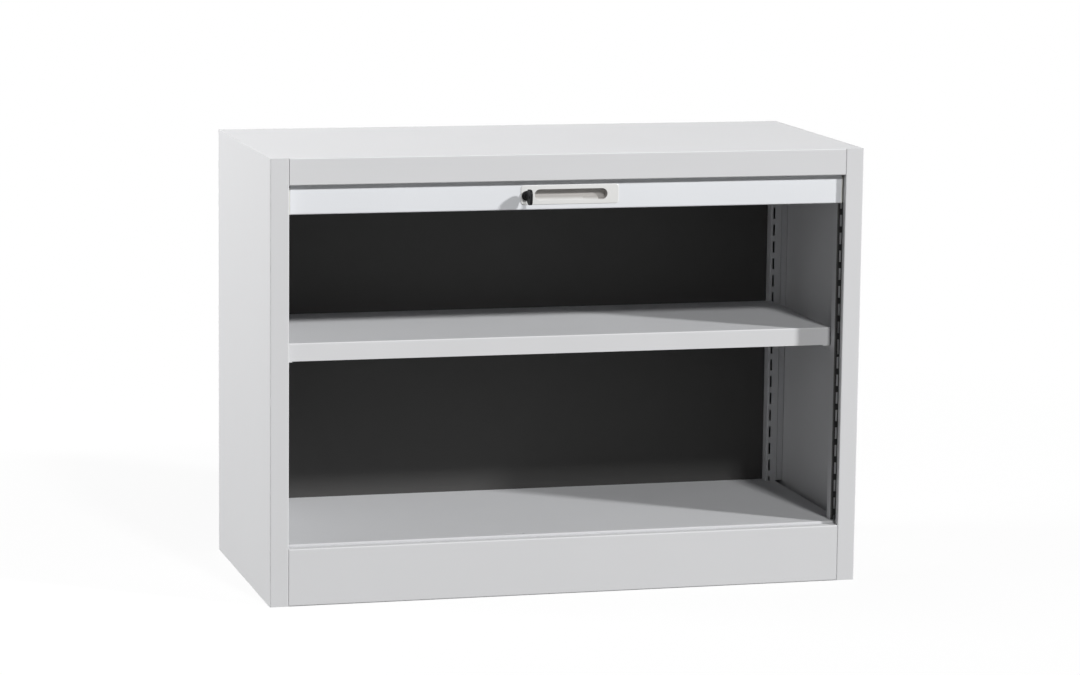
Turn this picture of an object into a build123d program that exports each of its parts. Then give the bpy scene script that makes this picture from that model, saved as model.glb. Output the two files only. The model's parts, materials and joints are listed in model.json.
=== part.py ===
"""Low steel cabinet with a roll front, shown open.

A slatted curtain hangs from two guides, turns under the top and goes down behind
the inner back. Its leading rail carries the recessed handle and the hook lock.
Origin: centre of the footprint, on the floor. +Z up, front towards -Y. Millimetres.
"""
import os
from math import ceil, cos, radians, sin, tan

from build123d import *

os.makedirs("parts", exist_ok=True)

# ---------------------------------------------------------------- casing
width = 1000.0
depth = 460.0
height = 730.0
sheet = 1.0  # panels, kick plate, floor and shelf
bend = 1.0  # inside radius of a fold
least_bend = 60.0  # degrees; a slighter fold has no radius
seam = 0.3  # gap between neighbouring panels
side_flange = 31.0  # front flange of a side panel
flange_return = 9.5  # how far that flange turns back into the opening
rear_flange = 20.0
foot_flange = 20.0
fascia_height = 44.0
top_side_fold = 6.0
back_fold = 15.0  # stiffening fold along the bottom of the back panel
kick_height = 94.5
kick_foot = 15.0
kick_tab = 8.0  # end tabs behind the side flanges
kick_drop = 12.0  # rear fold of the kick plate, against the floor

# ---------------------------------------------------------------- floor and duct
floor_step = 4.0  # floor above the kick plate
floor_edge = 18.0  # set-back of the floor's front edge
floor_gutter = 14.0  # floor to side wall
floor_fold = 20.0
bearer_height = 28.0  # angles under the floor's sides
base_rail_flange = 30.0
base_rail_gap = 17.0  # floor's rear edge to the rail's web
duct_depth = 65.0  # inner back to the cabinet's back
duct_height = 58.0  # ceiling to the cabinet's top
duct_fold = 18.0  # folds of the inner back and of the ceiling
ceiling_gap = 1.5  # ceiling behind the front uprights' faces

# ---------------------------------------------------------------- slotted uprights
upright_sheet = 1.2
upright_setback = 30.0
upright_inset = 2.0  # uprights stand this far inside the opening
upright_return = 20.0
rear_upright_lead = 18.0  # rear uprights stand this far in front of the inner back
joggle = 2.0
joggle_from_wall = 11.0
wall_fold_width = 14.0
slot_pitch = 30.0
slot_width = 3.5
slot_height = 19.6
slot_from_corner = 6.0  # slot centre from the upright's inner face
slot_above_kick = 31.8  # lowest whole slot's centre above the kick plate

# ---------------------------------------------------------------- shelf
shelf_top_z = 423.5
shelf_thickness = 29.5
shelf_setback = 50.0
shelf_depth = 313.0
shelf_side_gap = 1.2
shelf_lip = 14.0
stiffener_width = 60.0
stiffener_height = 18.0
stiffener_rim = 12.0
bracket_sheet = 1.5
bracket_length = 120.0
bracket_height = 38.0
bracket_below_shelf = 14.0
bracket_ledge = 20.0
hook_drop = 6.0

# ---------------------------------------------------------------- leading rail
rail_setback = 11.0
rail_depth = 14.0
rail_wall = 1.5
rail_visible = 48.0  # height below the fascia when open
rail_cover = 2.5  # height hidden behind the fascia
rail_end_gap = 3.5  # rail end to the side flange
rail_head = 7.0  # solid head that takes the first slat
rail_mouth = 2.0  # mouth of the first slat's groove
rail_nose = 2.0
closing_gap = 0.3

# ---------------------------------------------------------------- guides and curtain
guide_inset = 7.0  # guide's mouth outside the opening
guide_depth = 13.5
guide_wall = 1.5
guide_slot = 8.0
guide_top_gap = 3.5
guide_rear_gap = 10.5
guide_mouth_chamfer = 0.7
curtain_radius = 26.0  # centre line of the two bends
bend_corners = 6  # a corner guide is moulded in flats, with this many corners
spacer_radius = 4.0
spacer_drop = 1.5
spacer_inset = 25.0  # from the end of a straight guide
slat_pitch = 15.0
slat_thickness = 4.4
bead_radius = 1.6
hook_inside = 1.9
hook_outside = 2.6
slat_neck = 1.0
neck_root = 0.5  # length of the neck inside the slat's body
hook_mouth = 52.0  # half angle of a hook's mouth, degrees
slat_facets = 8  # sides of a bead and of a hook
slat_joint_gap = 0.8
slat_end_gap = 1.0
curtain_spare = 40.0
glide_gap = 0.4  # each side of a glide's tongue in its guide
glide_cap = 2.0
glide_plug = 16.0
plug_gap = 0.2
stop_length = 10.0
stop_gap = 2.0  # stored curtain to its end stops
stop_inset = 1.0  # from the guide's mouth

# ---------------------------------------------------------------- handle and lock
handle_width = 32.0
handle_plate = 2.5
handle_rim = 1.2  # plate beyond the lock
handle_tail = 19.0  # plate beyond the recess, at its other end
handle_corner = 5.0
handle_edge = 1.2  # bevel of the plate's rim
recess_length = 123.0
recess_width = 18.0
recess_depth = 12.5
recess_wall = 1.5
recess_up = 0.3  # recess centre above the rail's visible middle
scoop_end = 21.0
scoop_rise = 7.5
scoop_step_end = 47.0
scoop_step_rise = 5.0
scoop_run = 10.0
lock_from_recess = 4.3  # lock's tube to the recess's wall
lock_drop = 1.0  # lock's axis below the handle's middle
lock_tube_radius = 8.0
lock_bore_radius = 5.5
lock_running_gap = 0.05
lock_rim = 1.0  # housing stands proud of the handle plate
plug_head = 3.0
plug_edge = 0.8
lock_tail = 2.0  # housing behind the rail
cam_sheet = 1.8
cam_width = 10.0
cam_hub_radius = 7.0
cam_reach = 34.0
cam_toe = 5.0
cam_toe_angle = 25.0
cam_screw_radius = 3.5  # over the head's corners
cam_stem_radius = 1.75
cam_screw_head = 2.5
keyway_width = 2.2
keyway_height = 8.0
key_blade_gap = 0.15
key_blade_length = 15.0
key_shank = 4.5
tang_length = 8.0  # blade inside the bow
tang_gap = 0.02
key_sheet = 1.6  # tang's thickness
bow_thickness = 4.0
bow_height = 25.0
bow_length = 23.0
bow_corner = 8.0
bow_hole = 2.2
keeper_sheet = 1.6
keeper_length = 60.0
keeper_width = 20.0
catch_gap = 2.0  # clearance of the hook cam in its slot

# ---------------------------------------------------------------- fasteners
rivet_head = 3.4
rivet_dome = 0.8
rivet_facets = 8
side_rivets = 4
top_rivets = 4
rivet_inset = 60.0

overrun = 1.0  # how far a cutter reaches past what it cuts

# ---------------------------------------------------------------- places worked out from them
front = -depth / 2
back = depth / 2
wall = width / 2 - sheet  # inner face of a side panel
opening = width / 2 - side_flange  # half width of the front opening
fascia_bottom = height - fascia_height
floor_z = kick_height + floor_step
floor_half = wall - floor_gutter
floor_front = front + floor_edge
inner_back_y = back - duct_depth
duct_rear = inner_back_y + duct_fold
ceiling_z = height - duct_height
panel_half = opening - seam  # kick plate, fascia
front_upright_y = front + upright_setback
rear_upright_y = inner_back_y - rear_upright_lead
upright_x = opening - upright_inset
slot_x = upright_x + slot_from_corner
rail_bottom = fascia_bottom - rail_visible
rail_top = fascia_bottom + rail_cover
rail_half = opening - rail_end_gap
rail_front = front + rail_setback
rail_back = rail_front + rail_depth
travel = rail_bottom - floor_z - closing_gap
run_y = (rail_front + rail_back) / 2  # curtain's centre line in the front guides
guide_outer = guide_slot + 2 * guide_wall
run_z = height - sheet - guide_top_gap - guide_outer / 2
rear_run_y = back - 2 * sheet - guide_rear_gap - guide_outer / 2
bend_z = run_z - curtain_radius
mouth_x = opening + guide_inset
guide_base_x = mouth_x + guide_depth
handle_z = fascia_bottom - rail_visible / 2 + recess_up
lock_x = -(recess_length / 2 + recess_wall + lock_from_recess + lock_tube_radius)
handle_left = lock_x - lock_tube_radius - handle_rim
handle_right = recess_length / 2 + handle_tail
lock_z = handle_z - lock_drop
lock_back = rail_back + lock_tail
first_pivot_z = rail_top - slat_joint_gap - hook_inside


def save(shape, name):
    """Write one node of the assembly."""
    shape.label = name
    export_step(shape, f"parts/{name}.step")


def block(x0, x1, y0, y1, z0, z1):
    """Box between two corners."""
    size = Box(x1 - x0, y1 - y0, z1 - z0, align=(Align.MIN, Align.MIN, Align.MIN))
    return Pos(x0, y0, z0) * size


def sheet_section(skin, thickness, radius):
    """Cross-section of a folded sheet. skin runs along one face, the metal lies on its left."""
    lines = []
    for (x0, y0), (x1, y1) in zip(skin, skin[1:]):
        run = Vector(x1 - x0, y1 - y0).normalized()
        lines.append((Vector(x0, y0), run, Vector(-run.Y, run.X)))
    other = [lines[0][0] + lines[0][2] * thickness]
    skin_radii = []
    other_radii = []
    for (_, run_a, left_a), (corner, run_b, left_b) in zip(lines, lines[1:]):
        mitre = (left_a + left_b) * (thickness / (1 + left_a.dot(left_b)))
        other.append(corner + mitre)
        turns_left = run_a.X * run_b.Y - run_a.Y * run_b.X > 0
        inner, outer = (radius, radius + thickness) if run_a.get_angle(run_b) > least_bend else (0, 0)
        skin_radii.append(outer if turns_left else inner)
        other_radii.append(inner if turns_left else outer)
    other.append(Vector(*skin[-1]) + lines[-1][2] * thickness)
    face_side = FilletPolyline(*skin, radius=skin_radii)
    metal_side = FilletPolyline(*[(p.X, p.Y) for p in other], radius=other_radii)
    ends = [Line(face_side @ 0, metal_side @ 0), Line(face_side @ 1, metal_side @ 1)]
    return make_face([*face_side.edges(), *metal_side.edges(), *ends])


def fold_along_x(skin_yz, x0, x1, thickness=sheet):
    """Folded sheet with its section in Y and Z."""
    return extrude(Plane.YZ.offset(x0) * sheet_section(skin_yz, thickness, bend), x1 - x0)


def fold_along_y(skin_xz, y0, y1, thickness=sheet):
    """Folded sheet with its section in X and Z."""
    plane = Plane(origin=(0, y1, 0), x_dir=(1, 0, 0), z_dir=(0, -1, 0))
    return extrude(plane * sheet_section(skin_xz, thickness, bend), y1 - y0)


def fold_along_z(skin_xy, z0, z1, thickness=sheet):
    """Folded sheet with its section in X and Y."""
    return extrude(Plane.XY.offset(z0) * sheet_section(skin_xy, thickness, bend), z1 - z0)


def tray(x_half, y0, y1, z0, z1, open_face):
    """Pan with four folded sides that meet in mitred corners, open at its bottom or its top."""
    closed = -1 if open_face == "bottom" else 0
    inner_z0 = z0 - sheet if open_face == "bottom" else z0 + sheet
    inner_z1 = z1 - sheet if open_face == "bottom" else z1 + sheet
    outer = block(-x_half, x_half, y0, y1, z0, z1)
    inner = block(sheet - x_half, x_half - sheet, y0 + sheet, y1 - sheet, inner_z0, inner_z1)
    outer = fillet(outer.faces().sort_by(Axis.Z)[closed].edges(), bend + sheet)
    inner = fillet(inner.faces().sort_by(Axis.Z)[closed].edges(), bend)
    return outer - inner


def left_and_right(shape, name):
    """Save the right-hand piece and its mirror image."""
    save(shape, f"right_{name}")
    save(mirror(shape, about=Plane.YZ), f"left_{name}")


# ---------------------------------------------------------------- side panels
def side_panel():
    """Wall with front and rear flanges and a foot flange."""
    skin = [
        (opening, front + flange_return),
        (opening, front),
        (width / 2, front),
        (width / 2, back),
        (width / 2 - rear_flange, back),
    ]
    foot = block(width / 2 - foot_flange, wall + sheet / 2, front + sheet, back - sheet, 0, sheet)
    top_notch = block(
        opening - sheet,
        opening + 2 * sheet + bend,
        front + sheet,
        front + flange_return + sheet,
        height - sheet - seam,
        height + sheet,
    )
    return fold_along_z(skin, 0, height) + foot - top_notch


left_and_right(side_panel(), "side_panel")


# ---------------------------------------------------------------- top panel with its fascia
def top_panel():
    """Top, front fascia and rear fold in one sheet, with a short fold along each side."""
    skin = [
        (back, height - rear_flange),
        (back, height),
        (front, height),
        (front, fascia_bottom),
        (front + flange_return, fascia_bottom),
    ]
    top = fold_along_x(skin, -panel_half, panel_half)
    edge = wall - seam
    strip_skin = [(edge, height - top_side_fold), (edge, height), (panel_half - sheet, height)]
    strip = fold_along_y(strip_skin, front + sheet + seam, back - sheet - seam)
    return top + strip + mirror(strip, about=Plane.YZ)


save(top_panel(), "top_panel")


# ---------------------------------------------------------------- kick plate
def kick_plate():
    """Plinth between the side flanges, with a top ledge against the floor's front edge."""
    skin = [
        (floor_front, kick_height - kick_drop),
        (floor_front, kick_height),
        (front, kick_height),
        (front, 0),
        (front + kick_foot, 0),
    ]
    plate = fold_along_x(skin, -panel_half, panel_half)
    for side in (-1, 1):
        inner = side * (panel_half - sheet)
        outer = side * panel_half
        plate += block(
            min(inner, outer),
            max(inner, outer),
            front + sheet / 2,
            front + kick_tab,
            bend + 2 * sheet,
            kick_height - bend - 2 * sheet,
        )
    return plate


save(kick_plate(), "kick_plate")


# ---------------------------------------------------------------- floor pan and what carries it
closed_lock_height = lock_z - travel - floor_z  # lock's axis above the floor when closed
slot_left = lock_x - (cam_reach**2 - closed_lock_height**2) ** 0.5 - catch_gap
slot_right = lock_x + cam_width / 2 + catch_gap


def lock_slot():
    """Cutter for the slot that the hook cam swings through."""
    y0 = lock_back - catch_gap
    y1 = lock_back + cam_sheet + catch_gap
    return block(slot_left, slot_right, y0, y1, floor_z - floor_fold, floor_z + overrun)


def bottom_shelf():
    """Floor pan with the slot for the hook cam."""
    pan = tray(floor_half, floor_front, duct_rear, floor_z - floor_fold, floor_z, "bottom")
    return pan - lock_slot()


save(bottom_shelf(), "bottom_shelf")


def lock_keeper():
    """Plate under the floor that the hook cam catches."""
    middle_x = (slot_left + slot_right) / 2
    y0 = floor_front + sheet + bend + seam
    top = floor_z - sheet
    plate = block(
        middle_x - keeper_length / 2,
        middle_x + keeper_length / 2,
        y0,
        y0 + keeper_width,
        top - keeper_sheet,
        top,
    )
    return plate - lock_slot()


save(lock_keeper(), "lock_keeper")


def floor_bearer():
    """Angle on the side wall under the floor's side fold."""
    ledge_z = floor_z - floor_fold
    skin = [(wall, ledge_z - bearer_height), (wall, ledge_z), (floor_half - floor_gutter, ledge_z)]
    return fold_along_y(skin, front_upright_y, rear_upright_y)


left_and_right(floor_bearer(), "floor_bearer")


def rear_base_rail():
    """Channel under the floor's rear edge."""
    web = duct_rear + base_rail_gap
    top = floor_z - floor_fold
    skin = [
        (web - base_rail_flange, 0),
        (web, 0),
        (web, top),
        (web - base_rail_flange, top),
    ]
    half = width / 2 - foot_flange - seam
    return fold_along_x(skin, -half, half)


save(rear_base_rail(), "rear_base_rail")


# ---------------------------------------------------------------- backs and ceiling
def outer_back_panel():
    """Back sheet inside the rear flanges, folded forward along its bottom."""
    skin_y = back - sheet
    skin = [
        (skin_y - back_fold, sheet + seam),
        (skin_y, sheet + seam),
        (skin_y, height - sheet - bend - seam),
    ]
    half = wall - bend - seam
    return fold_along_x(skin, -half, half)


save(outer_back_panel(), "outer_back_panel")


def inner_back_panel():
    """Back of the storage space, with folds that close the duct behind it."""
    half = upright_x - seam
    skin = [(-half, duct_rear), (-half, inner_back_y), (half, inner_back_y), (half, duct_rear)]
    panel = fold_along_z(skin, floor_z, ceiling_z)
    rim = block(
        -half + sheet / 2,
        half - sheet / 2,
        inner_back_y + sheet / 2,
        duct_rear,
        ceiling_z - sheet,
        ceiling_z,
    )
    return panel + rim


save(inner_back_panel(), "inner_back_panel")


def ceiling_panel():
    """Tray that hides the curtain under the top."""
    y0 = front_upright_y + ceiling_gap
    return tray(wall - seam, y0, duct_rear, ceiling_z, ceiling_z + duct_fold, "top")


save(ceiling_panel(), "ceiling_panel")


# ---------------------------------------------------------------- slotted uprights
def slotted_upright(face_y, return_y):
    """Upright with a return towards the shelf, a slotted face, a joggle and a fold along the wall."""
    step_x = wall - joggle_from_wall
    skin = [
        (upright_x, return_y),
        (upright_x, face_y),
        (step_x - joggle, face_y),
        (step_x, face_y + joggle),
        (wall, face_y + joggle),
        (wall, face_y + joggle + wall_fold_width),
    ]
    post = fold_along_z(skin, floor_z, ceiling_z, upright_sheet)
    lowest = kick_height + slot_above_kick - slot_pitch
    count = int((ceiling_z - slot_height - lowest) // slot_pitch) + 1
    cutter = Box(slot_width, 4 * upright_sheet, slot_height)
    slots = [
        Pos(slot_x, face_y + upright_sheet / 2, lowest + i * slot_pitch) * cutter
        for i in range(count)
    ]
    return post - slots


left_and_right(slotted_upright(front_upright_y, front_upright_y + upright_return), "front_upright")
left_and_right(slotted_upright(rear_upright_y, duct_rear), "rear_upright")


# ---------------------------------------------------------------- shelf, stiffener and brackets
shelf_bottom_z = shelf_top_z - shelf_thickness
shelf_y0 = front + shelf_setback
shelf_y1 = shelf_y0 + shelf_depth
shelf_half = upright_x - shelf_side_gap


def adjustable_shelf():
    """Folded shelf with lips along its front and rear."""
    pan = tray(shelf_half, shelf_y0, shelf_y1, shelf_bottom_z, shelf_top_z, "bottom")
    lip_half = shelf_half - sheet / 2
    for y0, y1 in ((shelf_y0, shelf_y0 + shelf_lip), (shelf_y1 - shelf_lip, shelf_y1)):
        inner_y0 = max(y0, shelf_y0 + sheet / 2)
        inner_y1 = min(y1, shelf_y1 - sheet / 2)
        pan += block(-lip_half, lip_half, inner_y0, inner_y1, shelf_bottom_z, shelf_bottom_z + sheet)
    return pan


save(adjustable_shelf(), "adjustable_shelf")


def shelf_stiffener():
    """Hat section under the middle of the shelf."""
    top = shelf_top_z - sheet
    low = top - stiffener_height
    middle = (shelf_y0 + shelf_y1) / 2
    hat = stiffener_width / 2
    rim = hat + stiffener_rim
    skin = [
        (middle + rim, top),
        (middle + hat, top),
        (middle + hat, low),
        (middle - hat, low),
        (middle - hat, top),
        (middle - rim, top),
    ]
    half = shelf_half - 2 * sheet - bend
    return fold_along_x(skin, -half, half)


save(shelf_stiffener(), "shelf_stiffener")


def shelf_bracket(face_y, direction):
    """Bracket that hooks through two slots and carries one end of the shelf's side."""
    plate_x0 = slot_x - bracket_sheet / 2
    plate_x1 = slot_x + bracket_sheet / 2
    low = shelf_bottom_z - bracket_below_shelf
    high = low + bracket_height
    root = face_y + (upright_sheet + seam if direction > 0 else -seam)
    tip = face_y + direction * bracket_length

    def along(a, b, x0, x1, z0, z1):
        return block(x0, x1, min(a, b), max(a, b), z0, z1)

    plate = along(root, tip, plate_x0, plate_x1, low, high)
    tip_edge = plate.edges().filter_by(Axis.X).group_by(Axis.Y)[-1 if direction > 0 else 0]
    plate = chamfer(tip_edge.sort_by(Axis.Z)[0], bracket_below_shelf - 2 * bracket_sheet)
    ledge_root = face_y + direction * (upright_return + seam)
    if direction < 0:
        ledge_root = shelf_y1
    plate += along(
        ledge_root,
        tip,
        plate_x1 - bracket_ledge,
        plate_x1,
        shelf_bottom_z - bracket_sheet,
        shelf_bottom_z,
    )
    out_of_slot = bracket_sheet + seam
    for slot_z in slot_centres_between(low, high):
        through = face_y + (-out_of_slot if direction > 0 else upright_sheet + out_of_slot)
        neck_top = slot_z + slot_height / 2 - 2 * seam
        neck_low = slot_z - slot_height / 2 + seam
        plate += along(root, through, plate_x0, plate_x1, neck_low, neck_top)
        outer = through + (bracket_sheet if direction > 0 else -bracket_sheet)
        plate += along(through, outer, plate_x0, plate_x1, neck_low - hook_drop, neck_top)
    return plate


def slot_centres_between(low, high):
    """Heights of the slots that lie whole between two heights."""
    first = kick_height + slot_above_kick
    centres = []
    z = first
    while z < height:
        if z - slot_height / 2 > low and z + slot_height / 2 < high:
            centres.append(z)
        z += slot_pitch
    return centres


front_bracket = shelf_bracket(front_upright_y, 1)
rear_bracket = shelf_bracket(rear_upright_y, -1)
brackets = [front_bracket, rear_bracket]
brackets += [mirror(b, about=Plane.YZ) for b in (front_bracket, rear_bracket)]
save(Compound(children=brackets), "shelf_brackets")


# ---------------------------------------------------------------- path of the curtain
def path_point(s):
    """Point (y, z) of the curtain's centre line at a distance s above the first pivot."""
    rise = bend_z - first_pivot_z
    arc = radians(90) * curtain_radius
    run = rear_run_y - run_y - 2 * curtain_radius
    if s <= rise:
        return run_y, first_pivot_z + s
    s -= rise
    if s <= arc:
        angle = s / curtain_radius
        return run_y + curtain_radius * (1 - cos(angle)), bend_z + curtain_radius * sin(angle)
    s -= arc
    if s <= run:
        return run_y + curtain_radius + s, run_z
    s -= run
    if s <= arc:
        angle = s / curtain_radius
        return rear_run_y - curtain_radius * (1 - sin(angle)), bend_z + curtain_radius * cos(angle)
    return rear_run_y, bend_z - (s - arc)


def pivots(count):
    """Pivot points one pitch apart, measured straight from each to the next."""
    places = [0.0]
    halvings = 40
    for _ in range(count):
        low = places[-1]
        high = low + 2 * slat_pitch
        y0, z0 = path_point(low)
        for _ in range(halvings):
            trial = (low + high) / 2
            y1, z1 = path_point(trial)
            if ((y1 - y0) ** 2 + (z1 - z0) ** 2) ** 0.5 < slat_pitch:
                low = trial
            else:
                high = trial
        places.append(high)
    return [path_point(s) for s in places]


slat_count = ceil((travel + curtain_spare) / slat_pitch)
points = pivots(slat_count)
stop_top_z = points[-1][1] - hook_outside - stop_gap  # the last slat hangs behind the inner back
rear_guide_low = stop_top_z - stop_length


# ---------------------------------------------------------------- curtain guides
def guide_section():
    """U-section of a guide: x runs outwards from its mouth, y across the curtain."""
    outer = Pos(guide_depth / 2, 0) * Rectangle(guide_depth, guide_outer)
    groove_depth = guide_depth - guide_wall
    groove = Pos(groove_depth / 2, 0) * Rectangle(groove_depth, guide_slot)
    return outer - groove


def straight_section():
    """Guide section with a lead-in along its mouth."""
    lead_in = make_face(
        Polyline(
            (0, guide_slot / 2 + guide_mouth_chamfer),
            (guide_mouth_chamfer, guide_slot / 2),
            (guide_mouth_chamfer, -guide_slot / 2),
            (0, -guide_slot / 2 - guide_mouth_chamfer),
            close=True,
        )
    )
    return guide_section() - lead_in


def guide_plane(y, z, across_y, across_z):
    """Plane of the guide's section at a point of the curtain's path."""
    across = Vector(0, across_y, across_z)
    return Plane(origin=(mouth_x, y, z), x_dir=(1, 0, 0), z_dir=Vector(1, 0, 0).cross(across))


def front_guide():
    """Upright guide, with a foot that screws to the front upright."""
    plane = guide_plane(run_y, floor_z + seam, 1, 0)
    length = bend_z - floor_z - 2 * seam
    guide = extrude(plane * straight_section(), length)
    z0 = floor_z + seam
    z1 = ceiling_z - seam
    foot = block(mouth_x, guide_base_x, front_upright_y - guide_wall, front_upright_y, z0, z1)
    web_x = guide_base_x - guide_wall
    web = block(web_x, guide_base_x, run_y + guide_slot / 2, front_upright_y, z0, z1)
    return guide + foot + web


def corner_guide(start_y, inward):
    """Quarter bend in flats, from an upright guide to the top guide. inward is 1 or -1 along Y."""
    step = 90 / bend_corners
    centre_y = start_y + inward * curtain_radius
    corner_radius = curtain_radius / cos(radians(step / 2))
    route = [(mouth_x, start_y, bend_z)]
    for i in range(bend_corners):
        angle = radians((i + 0.5) * step)
        y = centre_y - inward * corner_radius * cos(angle)
        route.append((mouth_x, y, bend_z + corner_radius * sin(angle)))
    route.append((mouth_x, centre_y, run_z))
    section = guide_plane(start_y, bend_z, 1, 0) * guide_section()
    return sweep(section, path=Polyline(*route), transition=Transition.RIGHT)


def top_guide():
    """Straight guide under the top."""
    y0 = run_y + curtain_radius + seam
    y1 = rear_run_y - curtain_radius - seam
    return extrude(guide_plane(y0, run_z, 0, -1) * straight_section(), y1 - y0)


def rear_guide():
    """Straight guide behind the inner back."""
    plane = guide_plane(rear_run_y, rear_guide_low, 1, 0)
    return extrude(plane * straight_section(), bend_z - seam - rear_guide_low)


left_and_right(front_guide(), "front_guide")
left_and_right(corner_guide(run_y, 1), "front_corner_guide")
left_and_right(top_guide(), "top_guide")
left_and_right(corner_guide(rear_run_y, -1), "rear_corner_guide")
left_and_right(rear_guide(), "rear_guide")


def guide_spacers():
    """Hexagonal spacers between the guides and the side wall."""
    top_y0 = run_y + curtain_radius
    top_y1 = rear_run_y - curtain_radius
    middle = (top_y0 + top_y1) / 2
    slant = curtain_radius * cos(radians(45))
    places = [(y, run_z - spacer_drop) for y in (top_y0 + spacer_inset, middle, top_y1 - spacer_inset)]
    places += [(top_y0 - slant, bend_z + slant), (top_y1 + slant, bend_z + slant)]
    places += [(rear_run_y, bend_z - spacer_inset), (rear_run_y, rear_guide_low + spacer_inset)]
    spacer = extrude(Plane.YZ.offset(guide_base_x) * RegularPolygon(spacer_radius, 6), wall - guide_base_x)
    return Compound(children=[Pos(0, y, z) * spacer for y, z in places])


left_and_right(guide_spacers(), "guide_spacers")


def curtain_stops():
    """Rubber blocks in the foot of the rear guides."""
    y0 = rear_run_y - guide_slot / 2
    y1 = rear_run_y + guide_slot / 2
    stop = block(mouth_x + stop_inset, guide_base_x - guide_wall, y0, y1, rear_guide_low, stop_top_z)
    return Compound(children=[stop, mirror(stop, about=Plane.YZ)])


save(curtain_stops(), "curtain_stops")


# ---------------------------------------------------------------- curtain slats
def slat_section():
    """Interlocking slat: bead and neck at x = 0, hook round the next bead at x = slat_pitch."""
    body_start = hook_outside + slat_joint_gap
    body_end = slat_pitch - hook_inside
    body = Pos((body_start + body_end) / 2, 0) * Rectangle(body_end - body_start, slat_thickness)
    body = chamfer(body.vertices().group_by(Axis.X)[0], slat_thickness / 4)
    neck_length = body_start + neck_root
    neck = Pos(neck_length / 2, 0) * Rectangle(neck_length, slat_neck)
    hook = Pos(slat_pitch, 0) * RegularPolygon(hook_outside, slat_facets)
    reach = hook_outside + overrun
    mouth = make_face(
        Polyline(
            (slat_pitch, 0),
            (slat_pitch + reach, reach * tan(radians(hook_mouth))),
            (slat_pitch + reach, -reach * tan(radians(hook_mouth))),
            close=True,
        )
    )
    socket = Pos(slat_pitch, 0) * RegularPolygon(hook_inside, slat_facets)
    return RegularPolygon(bead_radius, slat_facets) + neck + body + (hook - mouth) - socket


slat_half = guide_base_x - guide_wall - slat_end_gap
section = slat_section()
slats = []
for (y0, z0), (y1, z1) in zip(points, points[1:]):
    along = Vector(0, y1 - y0, z1 - z0).normalized()
    plane = Plane(origin=(-slat_half, y0, z0), x_dir=along, z_dir=(1, 0, 0))
    slats.append(extrude(plane * section, 2 * slat_half))
save(slats[0], "lead_slat")
save(Compound(children=slats[1:]), "curtain_slats")


# ---------------------------------------------------------------- leading rail with its glides
def on_rail(y):
    """Plane parallel to the rail's face: x to the right, y up, looking towards +Y."""
    return Plane(origin=(0, y, 0), x_dir=(1, 0, 0), z_dir=(0, -1, 0))


def leading_rail():
    """Hollow bar with a groove for the first slat, a handle opening and a lock hole."""
    tall = rail_top - rail_bottom
    outline = Pos(run_y, (rail_top + rail_bottom) / 2) * Rectangle(rail_depth, tall)
    outline = fillet(outline.vertices(), rail_nose)
    hollow_top = rail_top - rail_head
    hollow_low = rail_bottom + rail_wall
    hollow = Pos(run_y, (hollow_top + hollow_low) / 2) * Rectangle(
        rail_depth - 2 * rail_wall, hollow_top - hollow_low
    )
    groove = Pos(run_y, first_pivot_z) * RegularPolygon(hook_inside, slat_facets)
    mouth_height = rail_top - first_pivot_z + overrun
    mouth_face = Rectangle(rail_mouth, mouth_height, align=(Align.CENTER, Align.MIN))
    mouth = Pos(run_y, first_pivot_z) * mouth_face
    profile = outline - hollow - groove - mouth
    rail = extrude(Plane.YZ.offset(-rail_half) * profile, 2 * rail_half)
    reach = rail_wall + overrun
    around = 2 * recess_wall + 2 * seam
    opening_face = Pos(0, handle_z) * SlotOverall(recess_length + around, recess_width + around)
    rail -= extrude(on_rail(rail_front + reach) * opening_face, 2 * reach)
    lock_hole = Pos(lock_x, lock_z) * Circle(lock_tube_radius)
    return rail - extrude(on_rail(rail_back + overrun) * lock_hole, rail_depth + 2 * overrun)


save(leading_rail(), "leading_rail")


def rail_glide():
    """Nylon end cap: a plug in the rail, a cap, and a tongue that runs in the guide."""
    tongue_half = guide_slot / 2 - glide_gap
    groove_end = guide_base_x - guide_wall - slat_end_gap
    low = rail_bottom + rail_nose
    high = first_pivot_z - hook_inside - slat_joint_gap
    tongue = block(rail_half, groove_end, run_y - tongue_half, run_y + tongue_half, low, high)
    tongue = chamfer(tongue.edges().filter_by(Axis.X), tongue_half / 3)
    cap = block(
        rail_half,
        rail_half + glide_cap,
        rail_front + seam,
        rail_back - seam,
        rail_bottom + seam,
        rail_top - rail_head,
    )
    plug = block(
        rail_half - glide_plug,
        rail_half,
        rail_front + rail_wall + plug_gap,
        rail_back - rail_wall - plug_gap,
        rail_bottom + rail_wall + plug_gap,
        rail_top - rail_head - plug_gap,
    )
    return tongue + cap + plug


left_and_right(rail_glide(), "rail_glide")


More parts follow.
